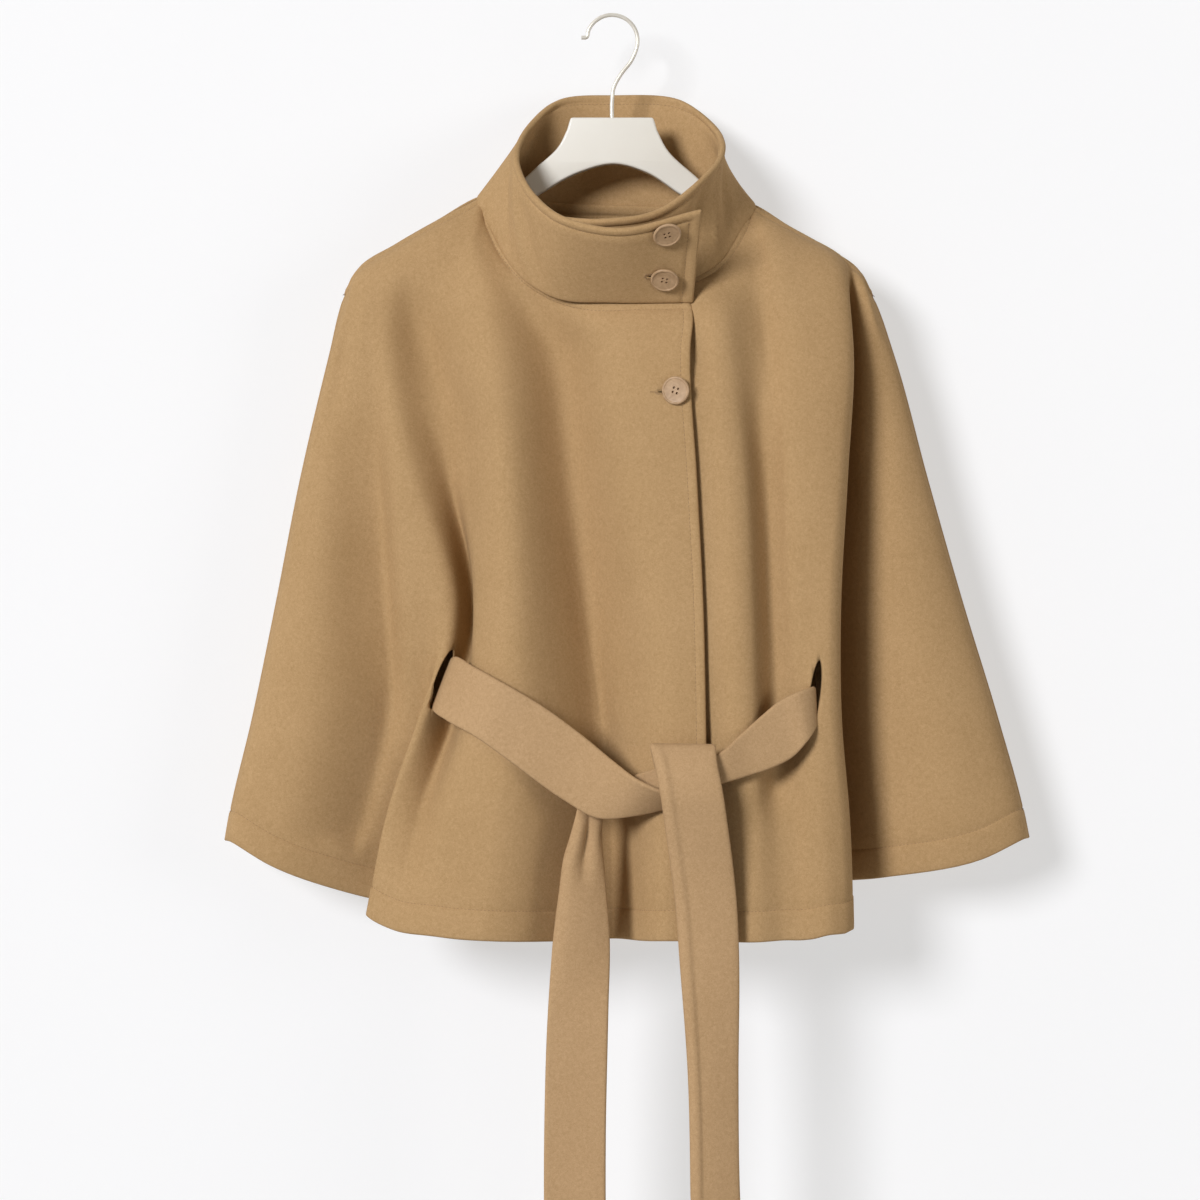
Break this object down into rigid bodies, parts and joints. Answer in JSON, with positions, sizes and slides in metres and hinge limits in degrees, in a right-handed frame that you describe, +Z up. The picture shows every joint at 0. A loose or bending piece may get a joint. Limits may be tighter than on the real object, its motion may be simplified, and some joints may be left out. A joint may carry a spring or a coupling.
{
  "type": "wool cape on a hanger",
  "caption": "Belted wool cape with a deep wrap-over funnel collar, hanging from a flat clothes hanger.",
  "frame": {"origin": "inner top of the hook's bow, where the hanger hangs on a rail", "axes": "+Z up, along the hanging garment; -Y out of the buttoned front; +X towards the wearer's left arm, along the hanger"},
  "size_m": [0.6472, 0.1752, 1.0064],
  "materials": {
    "wool": "felted camel wool with a fine brushed nap",
    "button": "satin, horn-like, pinkish tan",
    "hanger": "cream satin lacquer",
    "hook": "cream lacquered wire"
  },
  "bodies": {
    "root": {"cape_front_right": "wool", "cape_front_left": "wool", "cape_back": "wool", "collar": "wool", "belt_band_right": "wool", "belt_band_left": "wool", "belt_back": "wool", "belt_loop": "wool", "belt_tail": "wool", "button_collar_top": "button", "button_collar_low": "button", "button_front": "button", "hanger_body": "hanger", "hanger_hook": "hook"}
  },
  "joints": []
}
